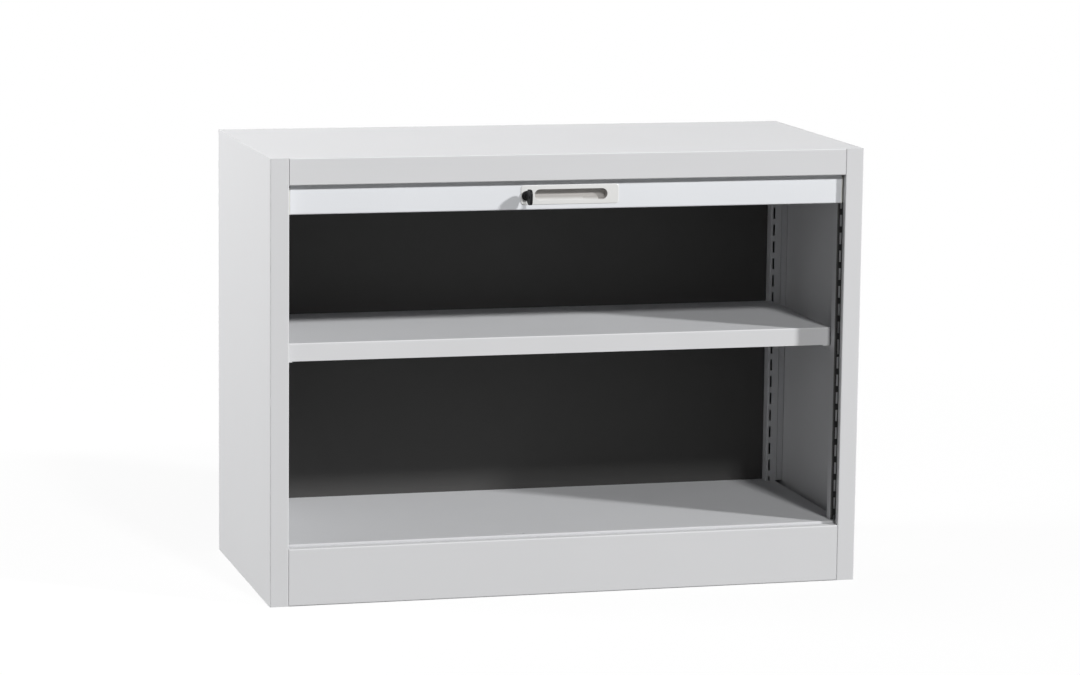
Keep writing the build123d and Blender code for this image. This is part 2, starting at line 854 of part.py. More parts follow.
# ---------------------------------------------------------------- recessed handle
def handle_shell():
    """Moulded plate with a finger recess and a stepped scoop in its lower half."""
    plate_y = rail_front - handle_plate
    outline = RectangleRounded(handle_right - handle_left, handle_width, handle_corner)
    outline = Pos((handle_left + handle_right) / 2, handle_z) * outline
    plate = extrude(on_rail(rail_front) * outline, handle_plate)
    plate = chamfer(plate.faces().sort_by(Axis.Y)[0].edges(), handle_edge)
    pocket_depth = recess_depth + recess_wall
    around = 2 * recess_wall
    bowl_face = Pos(0, handle_z) * SlotOverall(recess_length + around, recess_width + around)
    bowl = extrude(on_rail(plate_y + pocket_depth) * bowl_face, pocket_depth - handle_plate / 2)
    finger_face = Pos(0, handle_z) * SlotOverall(recess_length, recess_width)
    finger_space = extrude(on_rail(plate_y + recess_depth) * finger_face, recess_depth + overrun)
    shell = plate + bowl - finger_space
    low = handle_z - recess_width / 2
    for x0, x1, rise in (
        (-recess_length / 2, scoop_end, scoop_rise),
        (scoop_end, scoop_step_end, scoop_step_rise),
    ):
        skin_y = plate_y + recess_depth
        wedge_face = make_face(
            Polyline(
                (skin_y - scoop_run, low - recess_wall / 2),
                (skin_y - scoop_run, low),
                (skin_y, low + rise),
                (skin_y + recess_wall / 2, low + rise),
                (skin_y + recess_wall / 2, low - recess_wall / 2),
                close=True,
            )
        )
        wedge = extrude(Plane.YZ.offset(x0) * wedge_face, x1 - x0)
        shell += wedge & extrude(on_rail(plate_y + pocket_depth) * bowl_face, pocket_depth)
    lock_hole = Pos(lock_x, lock_z) * Circle(lock_tube_radius)
    return shell - extrude(on_rail(rail_back) * lock_hole, rail_depth + 2 * handle_plate)


save(handle_shell(), "handle_shell")


# ---------------------------------------------------------------- lock
lock_face_y = rail_front - handle_plate - lock_rim


def lock_disc(radius, y_front, y_back):
    """Round piece on the lock's axis."""
    return extrude(on_rail(y_back) * (Pos(lock_x, lock_z) * Circle(radius)), y_back - y_front)


def lock_housing():
    """Tube through the handle plate and the rail."""
    tube = lock_disc(lock_tube_radius, lock_face_y, lock_back - seam)
    return tube - lock_disc(lock_bore_radius, lock_face_y - overrun, lock_back + overrun)


save(lock_housing(), "lock_housing")

head_y = lock_face_y - plug_head


def lock_plug():
    """Turning core with its keyway."""
    core = lock_disc(lock_bore_radius - lock_running_gap, head_y, lock_back)
    core = chamfer(core.edges().filter_by(GeomType.CIRCLE).sort_by(Axis.Y)[0], plug_edge)
    keyway = block(
        lock_x - keyway_width / 2,
        lock_x + keyway_width / 2,
        head_y - overrun,
        head_y + key_blade_length + seam,
        lock_z - keyway_height / 2,
        lock_z + keyway_height / 2,
    )
    return core - keyway


save(lock_plug(), "lock_plug")


bow_y = head_y - key_shank  # bow's end towards the lock


def key_tang(gap):
    """Part of the blade moulded into the bow, or with a gap its pocket."""
    half = key_sheet / 2 + gap
    tall = keyway_height / 2 - key_blade_gap + gap
    return block(
        lock_x - half, lock_x + half, bow_y - tang_length - gap, bow_y, lock_z - tall, lock_z + tall
    )


def key_blade():
    """Flat steel blade in the keyway."""
    half = keyway_width / 2 - key_blade_gap
    tall = keyway_height / 2 - key_blade_gap
    y1 = head_y + key_blade_length
    blade = block(lock_x - half, lock_x + half, bow_y, y1, lock_z - tall, lock_z + tall)
    return blade + key_tang(0)


def key_bow():
    """Moulded grip with a ring hole."""
    outline = Pos(bow_y - bow_length / 2, lock_z) * RectangleRounded(bow_length, bow_height, bow_corner)
    ring_hole = Pos(bow_y - bow_length + 3 * bow_hole, lock_z) * Circle(bow_hole)
    grip = extrude(Plane.YZ.offset(lock_x - bow_thickness / 2) * (outline - ring_hole), bow_thickness)
    return grip - key_tang(tang_gap)


save(key_blade(), "key_blade")
save(key_bow(), "key_bow")


def hook_cam():
    """Arm and curved toe. At rest the arm points to -X, turned it points down."""
    arm = Pos(-cam_reach / 2, 0) * Rectangle(cam_reach, cam_width)
    hub = Circle(cam_hub_radius)
    sector = make_face(
        Polyline(
            (0, 0),
            (-2 * cam_reach, 0),
            (-2 * cam_reach, -2 * cam_reach * tan(radians(cam_toe_angle))),
            close=True,
        )
    )
    toe = (Circle(cam_reach) - Circle(cam_reach - cam_toe)) & sector
    profile = (arm & Circle(cam_reach)) + hub + toe
    place = Pos(lock_x, lock_z) * profile
    cam = extrude(on_rail(lock_back + cam_sheet) * place, cam_sheet)
    return cam - lock_disc(cam_stem_radius, lock_back - overrun, lock_back + cam_sheet + overrun)


save(hook_cam(), "hook_cam")


def cam_screw():
    """Hexagonal screw that holds the cam on the plug."""
    head_face = Pos(lock_x, lock_z) * RegularPolygon(cam_screw_radius, 6)
    head_back = lock_back + cam_sheet + cam_screw_head
    head = extrude(on_rail(head_back) * head_face, cam_screw_head)
    return head + lock_disc(cam_stem_radius - seam / 2, lock_back, head_back - cam_screw_head / 2)


save(cam_screw(), "cam_screw")


# ---------------------------------------------------------------- back rivets
def back_rivets():
    """Rivets through the rear flanges, the top's rear fold and the back panel."""
    flange_x = width / 2 - rear_flange / 2
    step = (height - 2 * rivet_inset) / (side_rivets - 1)
    places = [(s * flange_x, rivet_inset + i * step) for s in (-1, 1) for i in range(side_rivets)]
    first_x = 2 * rivet_inset - width / 2
    span = -2 * first_x / (top_rivets - 1)
    places += [(first_x + i * span, height - rear_flange / 2) for i in range(top_rivets)]
    head = RegularPolygon(rivet_head, rivet_facets)
    plane = on_rail(back + rivet_dome)
    return Compound(children=[extrude(plane * (Pos(x, z) * head), rivet_dome) for x, z in places])


save(back_rivets(), "back_rivets")
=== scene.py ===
"""Looks of the low steel cabinet with a slatted roll front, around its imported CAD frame."""
import json
from math import cos, pi, radians, sin

import bpy
import numpy as np
from mathutils import Matrix, Vector


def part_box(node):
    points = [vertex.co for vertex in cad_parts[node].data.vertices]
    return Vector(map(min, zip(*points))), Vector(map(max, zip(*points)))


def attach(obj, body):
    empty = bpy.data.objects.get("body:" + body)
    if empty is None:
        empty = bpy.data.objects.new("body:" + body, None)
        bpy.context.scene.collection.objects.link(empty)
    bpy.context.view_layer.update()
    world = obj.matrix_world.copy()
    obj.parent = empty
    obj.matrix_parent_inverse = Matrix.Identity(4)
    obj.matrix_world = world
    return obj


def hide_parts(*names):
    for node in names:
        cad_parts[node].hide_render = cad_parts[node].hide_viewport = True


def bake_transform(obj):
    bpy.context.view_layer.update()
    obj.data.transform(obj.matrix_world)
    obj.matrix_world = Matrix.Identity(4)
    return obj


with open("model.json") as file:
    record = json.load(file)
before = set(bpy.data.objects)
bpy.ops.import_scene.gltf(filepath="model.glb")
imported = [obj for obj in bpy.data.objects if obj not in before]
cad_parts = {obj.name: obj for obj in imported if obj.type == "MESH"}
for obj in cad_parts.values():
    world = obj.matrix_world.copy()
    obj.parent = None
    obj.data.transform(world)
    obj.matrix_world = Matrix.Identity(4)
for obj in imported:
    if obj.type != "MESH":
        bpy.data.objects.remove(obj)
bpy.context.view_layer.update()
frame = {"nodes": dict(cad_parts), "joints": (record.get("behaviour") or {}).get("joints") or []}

# ---------------------------------------------------------------- side panels, back and rivets
# Folded sheet steel, 1 mm thick, sprayed with light grey powder and baked. The walls carry the
# front and rear flanges, and the back sheet is riveted in between the rear ones.


class Port:
    """Output of a shader node. Arithmetic on it adds Math nodes, and node() adds any other."""

    def __init__(self, tree, socket):
        self.tree = tree
        self.socket = socket

    def node(self, kind, sockets, output=0, **settings):
        """Add a node: its settings first, then the values or links of its sockets."""
        made = self.tree.nodes.new(kind)
        for name, value in settings.items():
            setattr(made, name, value)
        for name, value in sockets.items():
            if isinstance(value, Port):
                self.tree.links.new(value.socket, made.inputs[name])
            else:
                made.inputs[name].default_value = value
        return Port(self.tree, made.outputs[output])

    def maths(self, operation, *values):
        return self.node("ShaderNodeMath", dict(enumerate(values)), operation=operation)

    def __add__(self, other):
        return self.maths("ADD", self, other)

    def __sub__(self, other):
        return self.maths("SUBTRACT", self, other)

    def __rsub__(self, other):
        return self.maths("SUBTRACT", other, self)

    def __mul__(self, other):
        return self.maths("MULTIPLY", self, other)

    __radd__ = __add__
    __rmul__ = __mul__


def new_finish(name):
    """New material, its Principled shader and a port on the piece's own coordinates."""
    material = bpy.data.materials.new(name)
    material.use_nodes = True
    tree = material.node_tree
    shader = tree.nodes["Principled BSDF"]
    place = Port(tree, tree.nodes.new("ShaderNodeTexCoord").outputs["Object"])
    return material, shader, place


def connect(shader, **links):
    """Feed sockets of the Principled shader, an underscore standing for the blank in a name."""
    for name, port in links.items():
        port.tree.links.new(port.socket, shader.inputs[name.replace("_", " ")])


def noise(place, scale, detail=2.0, stretch=(1, 1, 1)):
    """Noise of that many features a metre, from 0 to 1, drawn out along an axis by stretch."""
    vector = place.node("ShaderNodeMapping", {"Vector": place, "Scale": stretch})
    return vector.node("ShaderNodeTexNoise", {"Vector": vector, "Scale": scale, "Detail": detail})


def between(share, low, high):
    """Colour between two, by a share from 0 to 1."""
    sockets = {0: share, 6: (*low, 1.0), 7: (*high, 1.0)}
    return share.node("ShaderNodeMix", sockets, output=2, data_type="RGBA")


def bumped(height, strength, depth):
    """Normal pushed by a height from 0 to 1, depth in metres."""
    sockets = {"Height": height, "Strength": strength, "Distance": depth}
    return height.node("ShaderNodeBump", sockets)


def shade(colour, factor):
    """A colour made lighter or darker."""
    return tuple(channel * factor for channel in colour)


peel_depth = 0.00012  # metres from the lows to the highs of a powder coat's skin


def powder_coat(name, colour, gloss, peel, index=1.5):
    """Baked powder paint: orange peel a millimetre or two across and faint clouds of thickness."""
    material, shader, place = new_finish(name)
    clouds = noise(place, 6.0, detail=4.0)
    skin = noise(place, 620.0, detail=3.0)
    grain = noise(place, 2400.0, detail=1.0)
    blend_share = clouds * 0.7 + grain * 0.3
    connect(
        shader,
        Base_Color=between(blend_share, shade(colour, 0.97), shade(colour, 1.03)),
        Roughness=clouds * 0.08 + skin * 0.06 + (gloss - 0.07),
        Normal=bumped(skin * 0.8 + grain * 0.2, peel, peel_depth),
    )
    shader.inputs["IOR"].default_value = index
    return material


def paint_nodes(material, *names):
    """Give CAD nodes a finish in their own material slots."""
    for name in names:
        for slot in frame["nodes"][name].material_slots:
            slot.material = material


casing_grey = (0.640, 0.642, 0.652)
sheet_gloss = 0.72
sheet_index = 1.38
casing_paint = powder_coat(
    "casing_powder_coat", casing_grey, sheet_gloss, 0.30, index=sheet_index
)
paint_nodes(casing_paint, "left_side_panel", "right_side_panel", "outer_back_panel", "back_rivets")


def select_faces(piece, direction):
    """In edit mode, select the faces that look along a direction."""
    least_share = 0.9  # of the direction in the face's normal
    bpy.ops.mesh.select_all(action="DESELECT")
    bpy.ops.object.mode_set(mode="OBJECT")
    for face in piece.data.polygons:
        face.select = face.normal.dot(direction) > least_share
    bpy.ops.object.mode_set(mode="EDIT")


def smooth(piece, angle=30):
    """Shade a piece smooth over every edge flatter than an angle in degrees."""
    bpy.ops.object.select_all(action="DESELECT")
    piece.select_set(True)
    bpy.context.view_layer.objects.active = piece
    bpy.ops.object.shade_smooth_by_angle(angle=radians(angle))


# Blind rivets: a low dome with the hole that the pulled pin leaves.
rivet_radius = 0.0034
rivet_skirt = 0.0003
rivet_rings = (  # inset and rise of each ring, the last two around the pin's hole
    (0.0005, 0.00025),
    (0.0007, 0.00017),
    (0.0008, 0.00008),
    (0.0003, 0),
    (0.0001, -0.0005),
)
rivets_low, rivets_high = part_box("back_rivets")
side_x = rivets_high.x - rivet_radius
low_z = rivets_low.z + rivet_radius
high_z = rivets_high.z - rivet_radius
side_top_z = 0.670  # highest rivet of the side rows
top_x = 0.380  # outermost rivets of the top row
rivets_a_row = 4
row_shares = [step / (rivets_a_row - 1) for step in range(rivets_a_row)]
rivet_places = [
    (side * side_x, low_z + share * (side_top_z - low_z))
    for side in (-1, 1)
    for share in row_shares
]
rivet_places += [((2 * share - 1) * top_x, high_z) for share in row_shares]
bpy.ops.object.select_all(action="DESELECT")
bpy.ops.mesh.primitive_cylinder_add(
    vertices=24,
    radius=rivet_radius,
    depth=rivet_skirt,
    location=(0, rivets_low.y + rivet_skirt / 2, 0),
    rotation=(pi / 2, 0, 0),
)
rivet_heads = bpy.context.object
rivet_heads.name = "rivet_heads"
bpy.ops.object.transform_apply(location=True, rotation=True, scale=True)
bpy.ops.object.mode_set(mode="EDIT")
select_faces(rivet_heads, Vector((0, 1, 0)))
for inset, rise in rivet_rings:
    bpy.ops.mesh.inset(thickness=inset, depth=rise)
bpy.ops.object.mode_set(mode="OBJECT")
copies = []
for x, z in rivet_places[1:]:
    bpy.ops.object.select_all(action="DESELECT")
    rivet_heads.select_set(True)
    bpy.context.view_layer.objects.active = rivet_heads
    bpy.ops.object.duplicate(linked=False)
    bpy.context.object.location = (x, 0, z)
    copies.append(bpy.context.object)
rivet_heads.location = (rivet_places[0][0], 0, rivet_places[0][1])
for piece in (*copies, rivet_heads):
    piece.select_set(True)
bpy.context.view_layer.objects.active = rivet_heads
bpy.ops.object.join()
bpy.ops.object.transform_apply(location=True, rotation=True, scale=True)
rivet_heads.data.materials.append(casing_paint)
smooth(rivet_heads)
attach(rivet_heads, "cabinet")
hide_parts("back_rivets")

# ---------------------------------------------------------------- top panel and its fascia
# One sheet folded down at the front into the fascia that hides the roll front's bend, and into
# a flange at the rear. It takes the same powder as the walls.
paint_nodes(casing_paint, "top_panel")

# ---------------------------------------------------------------- kick plate
# Folded plinth between the wall flanges, in the casing's powder.
paint_nodes(casing_paint, "kick_plate")

# ---------------------------------------------------------------- floor pan, ceiling and uprights
# Inner sheets in a grey darker than the casing's, as painted shade for the dim inside, with a
# slightly coarser skin. The uprights are punched with slots for the shelf brackets.
painted_shade_interior_grey = (0.565, 0.570, 0.582)
inner_peel = 0.34
painted_shade_interior_paint = powder_coat(
    "interior_powder_painted_shade", painted_shade_interior_grey, sheet_gloss, inner_peel, index=sheet_index
)
paint_nodes(painted_shade_interior_paint, "bottom_shelf", "ceiling_panel")
paint_nodes(painted_shade_interior_paint, "left_rear_upright", "right_rear_upright")


def split_shade_powder(name, face_colour, colour, edge_y, blur, gloss, peel):
    """Powder coat that is face_colour in front of edge_y and colour behind it, in metres, one of
    them a painted shade.
    """
    material, shader, place = new_finish(name)
    depth = place.node("ShaderNodeSeparateXYZ", {0: place}, output=1)
    behind = depth.node("ShaderNodeMapRange", {0: depth, 1: edge_y - blur, 2: edge_y + blur})
    clouds = noise(place, 6.0, detail=4.0)
    skin = noise(place, 620.0, detail=3.0)
    front_tone = between(clouds, shade(face_colour, 0.95), shade(face_colour, 1.05))
    rear_tone = between(clouds, shade(colour, 0.97), shade(colour, 1.03))
    sockets = {0: behind, 6: front_tone, 7: rear_tone}
    mixed = behind.node("ShaderNodeMix", sockets, output=2, data_type="RGBA")
    connect(
        shader,
        Base_Color=mixed,
        Roughness=clouds * 0.08 + skin * 0.06 + (gloss - 0.07),
        Normal=bumped(skin, peel, peel_depth),
    )
    shader.inputs["IOR"].default_value = 1.45
    return material


# Painted shade: the front uprights' slotted faces are painted near black where the wall flanges
# shade them; their returns keep the casing's grey.
slot_face_shade_grey = (0.050, 0.050, 0.050)
slot_face_depth = 0.0016  # takes in the sheet of the slotted face
slot_face_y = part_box("left_front_upright")[0].y + slot_face_depth
front_upright_shade_paint = split_shade_powder(
    "front_upright_powder_painted_shade", slot_face_shade_grey, casing_grey, slot_face_y, 0.0003, 0.50, inner_peel
)
paint_nodes(front_upright_shade_paint, "left_front_upright", "right_front_upright")

# ---------------------------------------------------------------- inner back
# The back of the storage space is powder coated in dark grey, as the contrast to the casing, and
# set darker still as painted shade for the deep shade inside.
back_grey_and_shade = (0.055, 0.054, 0.053)
back_paint_and_shade = powder_coat("inner_back_powder_and_shade", back_grey_and_shade, 0.62, inner_peel, index=1.36)
paint_nodes(back_paint_and_shade, "inner_back_panel")

# ---------------------------------------------------------------- shelf and its stiffener
# Folded shelf that rests on four brackets, with a hat section spot welded under its middle. Its
# front lip has the casing's grey, and the rest the darker grey of the inner sheets, as painted
# shade on its top.
lip_depth = 0.0025  # takes in the lip's sheet and its bend
lip_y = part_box("adjustable_shelf")[0].y + lip_depth
shelf_lip_and_shade_paint = split_shade_powder(
    "shelf_powder_painted_shade", casing_grey, painted_shade_interior_grey, lip_y, 0.0005, sheet_gloss, inner_peel
)
paint_nodes(shelf_lip_and_shade_paint, "adjustable_shelf")
paint_nodes(painted_shade_interior_paint, "shelf_stiffener")

# ---------------------------------------------------------------- galvanised pieces
# Floor bearers, base rail and lock keeper are bent from galvanised sheet, whose zinc shows as
# pale crystals a few millimetres across. The shelf brackets are passivated to a dull pale skin.


def galvanised(name, colour, metal, gloss):
    """Zinc with crystals that differ in tone and gloss, the duller the less metal shows."""
    material, shader, place = new_finish(name)
    warped = noise(place, 90.0, detail=1.0)
    crystals = place.node("ShaderNodeTexVoronoi", {"Vector": place, "Scale": 160.0}, output="Color")
    tone = crystals.node("ShaderNodeSeparateColor", {0: crystals})
    share = tone * 0.75 + warped * 0.25
    connect(
        shader,
        Base_Color=between(share, shade(colour, 0.86), shade(colour, 1.06)),
        Roughness=share * 0.16 + (gloss - 0.08),
        Normal=bumped(noise(place, 900.0), 0.12, 0.0001),
    )
    shader.inputs["Metallic"].default_value = metal
    return material


zinc_tone = (0.56, 0.57, 0.58)
bracket_tone = (0.62, 0.625, 0.63)
zinc = galvanised("galvanised_sheet", zinc_tone, 0.9, 0.38)
paint_nodes(zinc, "left_floor_bearer", "right_floor_bearer", "rear_base_rail", "lock_keeper")
paint_nodes(galvanised("passivated_zinc", bracket_tone, 0.15, 0.58), "shelf_brackets")

# ---------------------------------------------------------------- guides, spacers and end stops
# Extruded grey plastic tracks with moulded corner pieces, stood off the walls on hexagonal
# spacers. Rubber blocks close the lower ends of the rear tracks.


def extruded_plastic(name, colour, gloss, stretch):
    """Plastic drawn through a die: fine lines along the profile, set by stretch."""
    material, shader, place = new_finish(name)
    lines = noise(place, 700.0, detail=2.0, stretch=stretch)
    clouds = noise(place, 14.0, detail=3.0)
    blend_share = clouds * 0.6 + lines * 0.4
    connect(
        shader,
        Base_Color=between(blend_share, shade(colour, 0.96), shade(colour, 1.03)),
        Roughness=lines * 0.10 + (gloss - 0.05),
        Normal=bumped(lines, 0.22, 0.0001),
    )
    shader.inputs["IOR"].default_value = 1.48
    return material


track_grey = (0.34, 0.35, 0.36)
track_gloss = 0.45
track_plastic = extruded_plastic("track_plastic", track_grey, track_gloss, (1, 1, 0.02))
top_track_plastic = extruded_plastic("top_track_plastic", track_grey, track_gloss, (1, 0.02, 1))
for side in ("left", "right"):
    paint_nodes(track_plastic, f"{side}_front_guide", f"{side}_rear_guide", f"{side}_guide_spacers")
    paint_nodes(top_track_plastic, f"{side}_top_guide")
    paint_nodes(top_track_plastic, f"{side}_front_corner_guide", f"{side}_rear_corner_guide")


def rubber(name, colour):
    """Dull black rubber with a fine pitted skin."""
    material, shader, place = new_finish(name)
    pits = noise(place, 1500.0, detail=2.0)
    connect(
        shader,
        Base_Color=between(pits, shade(colour, 0.8), shade(colour, 1.3)),
        Roughness=pits * 0.12 + 0.78,
        Normal=bumped(pits, 0.3, 0.0001),
    )
    return material


stop_black = (0.012, 0.012, 0.012)
paint_nodes(rubber("stop_rubber", stop_black), "curtain_stops")

# ---------------------------------------------------------------- stored slats
# Light grey extruded slats that hook into each other. They lie on the tracks under the top and
# behind the inner back while the front is open.
slat_grey = (0.55, 0.56, 0.565)
slat_plastic = extruded_plastic("slat_plastic", slat_grey, 0.40, (0.02, 1, 1))
paint_nodes(slat_plastic, "curtain_slats")

# ---------------------------------------------------------------- slats between rail and bend
# The stretch of slats that the rail draws down over the front. Open, it is the one slat in the
# rail's groove; shut, it covers the front at the slats' own pitch.
lead_low, lead_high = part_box("lead_slat")
rail_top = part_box("leading_rail")[1].z
slide = next(joint for joint in frame["joints"] if joint["name"] == "shutter_slide")
travel = slide["range_m"][1]
slat_depth = 0.0044
joint_depth = 0.0016  # thickness of the neck between two slats
joint_gap = 0.0020
slat_round = 0.0010
stored_pitch = 0.015  # the stored slats' own pitch
rail_clearance = 0.0001
curtain_foot = rail_top + rail_clearance
curtain_head = lead_high.z
closed_foot = curtain_foot - travel
slat_count = round((curtain_head - closed_foot) / stored_pitch)
slat_pitch = (curtain_head - closed_foot) / slat_count
middle_y = (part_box("leading_rail")[0].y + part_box("leading_rail")[1].y) / 2


def add_block(name, low, high):
    """Box primitive between two corners, as the only selected object."""
    bpy.ops.object.select_all(action="DESELECT")
    middle = (Vector(low) + Vector(high)) / 2
    bpy.ops.mesh.primitive_cube_add(size=1, location=middle)
    piece = bpy.context.object
    piece.name = name
    piece.scale = Vector(high) - Vector(low)
    bpy.ops.object.transform_apply(location=True, rotation=True, scale=True)
    return piece


def apply_modifier(piece, kind, **settings):
    """Add a modifier to the active piece and apply it."""
    modifier = piece.modifiers.new(kind.lower(), kind)
    for name, value in settings.items():
        setattr(modifier, name, value)
    bpy.context.view_layer.objects.active = piece
    bpy.ops.object.modifier_apply(modifier=modifier.name)


roll_slats = add_block(
    "roll_slats",
    (lead_low.x, middle_y - slat_depth / 2, closed_foot + joint_gap),
    (lead_high.x, middle_y + slat_depth / 2, closed_foot + slat_pitch),
)
apply_modifier(roll_slats, "BEVEL", width=slat_round, segments=3, limit_method="ANGLE")
bpy.ops.object.mode_set(mode="EDIT")
select_faces(roll_slats, Vector((0, 0, -1)))
bpy.ops.mesh.inset(thickness=slat_depth / 2 - slat_round - joint_depth / 2)
bpy.ops.mesh.extrude_region_move(TRANSFORM_OT_translate={"value": (0, 0, -joint_gap)})
bpy.ops.object.mode_set(mode="OBJECT")
apply_modifier(
    roll_slats,
    "ARRAY",
    count=slat_count,
    use_relative_offset=False,
    use_constant_offset=True,
    constant_offset_displace=(0, 0, slat_pitch),
)


def stored_height(closed):
    """Heights at rest of points that the blend brings to their closed heights, by halving."""
    halvings = 40
    low = np.full(len(closed), curtain_foot)
    high = np.full(len(closed), curtain_head)
    for _ in range(halvings):
        trial = (low + high) / 2
        share = (curtain_head - trial) / (curtain_head - curtain_foot)
        drawn = trial - travel * share * share * (3 - 2 * share)
        low = np.where(drawn < closed, trial, low)
        high = np.where(drawn < closed, high, trial)
    return (low + high) / 2


spots = np.array([vertex.co for vertex in roll_slats.data.vertices])
spots[:, 2] = stored_height(spots[:, 2])
roll_slats.data.vertices.foreach_set("co", spots.ravel())
roll_slats.data.update()
roll_slats.data.materials.append(slat_plastic)
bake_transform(roll_slats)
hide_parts("lead_slat")

# ---------------------------------------------------------------- leading rail and its glides
# Painted steel bar at the front edge of the roll front, with nylon end caps whose tongues run
# in the tracks.
rail_white = (0.735, 0.75, 0.775)
paint_nodes(powder_coat("rail_paint", rail_white, 0.36, 0.18), "leading_rail")


def moulded_plastic(name, colour, gloss, texture):
    """Injection moulded plastic with a fine eroded skin."""
    material, shader, place = new_finish(name)
    skin = noise(place, 1600.0, detail=2.0)
    clouds = noise(place, 30.0, detail=2.0)
    blend_share = clouds * 0.6 + skin * 0.4
    connect(
        shader,
        Base_Color=between(blend_share, shade(colour, 0.95), shade(colour, 1.04)),
        Roughness=skin * 0.14 + (gloss - 0.07),
        Normal=bumped(skin, texture, 0.00008),
    )
    shader.inputs["IOR"].default_value = 1.49
    return material


def softened(node, name, body, radius, reshape=None):
    """Copy of a CAD node with rounded edges, shown in its place, reshaped first if need be."""
    weld_reach = 0.00001  # vertices nearer than this are one
    coplanar = radians(0.5)  # faces that meet flatter than this are one
    flattest = radians(40)  # edges flatter than this aren't rounded
    bpy.ops.object.select_all(action="DESELECT")
    piece = bpy.data.objects.new(name, frame["nodes"][node].data.copy())
    bpy.context.collection.objects.link(piece)
    piece.select_set(True)
    bpy.context.view_layer.objects.active = piece
    bpy.ops.mesh.customdata_custom_splitnormals_clear()
    bpy.ops.object.mode_set(mode="EDIT")
    bpy.ops.mesh.select_all(action="SELECT")
    bpy.ops.mesh.remove_doubles(threshold=weld_reach)
    bpy.ops.mesh.dissolve_limited(angle_limit=coplanar)
    if reshape:
        reshape(piece)
    bpy.ops.object.mode_set(mode="OBJECT")
    apply_modifier(
        piece, "BEVEL", width=radius, segments=2, limit_method="ANGLE", angle_limit=flattest
    )
    smooth(piece, angle=50)
    apply_modifier(piece, "WEIGHTED_NORMAL", mode="FACE_AREA", weight=80, keep_sharp=True)
    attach(piece, body)
    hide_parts(node)


nylon_white = (0.66, 0.66, 0.62)
glide_nylon = moulded_plastic("glide_nylon", nylon_white, 0.40, 0.15)
glide_round = 0.0003
for side in ("left", "right"):
    glide = f"{side}_rail_glide"
    paint_nodes(glide_nylon, glide)
    softened(glide, f"{glide}_moulded", "shutter", glide_round)

# ---------------------------------------------------------------- recessed handle
# Moulded plate set in the rail, with a finger recess whose lower half is a stepped scoop. The
# plastic is painted darker the deeper it lies in the recess, as painted shade.
handle_white = (0.715, 0.715, 0.705)
recess_shade_grey = (0.40, 0.385, 0.37)
rail_face_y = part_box("leading_rail")[0].y
plate_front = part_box("handle_shell")[0].y
plate_rise = 0.0010  # how far the plate shows proud of the rail
plate_round = 0.0004
recess_shade_start = 0.0002  # depths behind the rail's face between which the grey sets in
recess_shade_full = 0.0065
handle_plastic = moulded_plastic("handle_plastic", handle_white, 0.38, 0.12)
handle_nodes = handle_plastic.node_tree.nodes
handle_shader = handle_nodes["Principled BSDF"]
outer_tone = Port(handle_plastic.node_tree, handle_shader.inputs["Base Color"].links[0].from_socket)
handle_place = Port(handle_plastic.node_tree, handle_nodes["Texture Coordinate"].outputs["Object"])
handle_depth = handle_place.node("ShaderNodeSeparateXYZ", {0: handle_place}, output=1)
# Painted shade: the plate's tone turns to the recess grey between two depths behind the rail's
# face.
recess_shade_share = handle_depth.node(
    "ShaderNodeMapRange",
    {0: handle_depth, 1: rail_face_y + recess_shade_start, 2: rail_face_y + recess_shade_full},
)
tone_sockets = {0: recess_shade_share, 6: outer_tone, 7: (*recess_shade_grey, 1.0)}
handle_tone_and_shade = recess_shade_share.node("ShaderNodeMix", tone_sockets, output=2, data_type="RGBA")
connect(handle_shader, Base_Color=handle_tone_and_shade)
paint_nodes(handle_plastic, "handle_shell")


def flatten_plate(piece):
    """In edit mode, push the plate back until only plate_rise of it stands proud."""
    proud_y = rail_face_y - 0.00005  # what lies in front of this belongs to the plate's rise
    bpy.ops.mesh.select_mode(type="VERT")
    bpy.ops.mesh.select_all(action="DESELECT")
    bpy.ops.object.mode_set(mode="OBJECT")
    for vertex in piece.data.vertices:
        vertex.select = vertex.co.y < proud_y
    bpy.ops.object.mode_set(mode="EDIT")
    flatter = plate_rise / (rail_face_y - plate_front)
    bpy.ops.transform.resize(value=(1, flatter, 1), center_override=(0, rail_face_y, 0))


softened(
    "handle_shell",
    "handle_moulded",
    "shutter",
    plate_round,
    reshape=flatten_plate,
)

# ---------------------------------------------------------------- lock, key and hook cam
# Black plated cylinder lock through the plate and the rail. The key stands in it, and a steel
# hook on its tail swings down into the floor pan.


def plated_black(name, colour):
    """Black plating over metal, a little worn along its skin."""
    material, shader, place = new_finish(name)
    wear = noise(place, 500.0, detail=4.0)
    connect(
        shader,
        Base_Color=between(wear, shade(colour, 0.8), shade(colour, 1.8)),
        Roughness=wear * 0.12 + 0.40,
        Normal=bumped(noise(place, 2500.0), 0.1, 0.00005),
    )
    shader.inputs["IOR"].default_value = 1.28
    return material


def brushed_steel(name, colour, stretch):
    """Nickel plated or bright steel with fine lines from rolling."""
    material, shader, place = new_finish(name)
    lines = noise(place, 1800.0, detail=2.0, stretch=stretch)
    patches = noise(place, 60.0, detail=3.0)
    connect(
        shader,
        Base_Color=between(patches, shade(colour, 0.92), shade(colour, 1.05)),
        Roughness=lines * 0.15 + patches * 0.08 + 0.18,
        Normal=bumped(lines, 0.2, 0.00005),
    )
    shader.inputs["Metallic"].default_value = 1.0
    return material


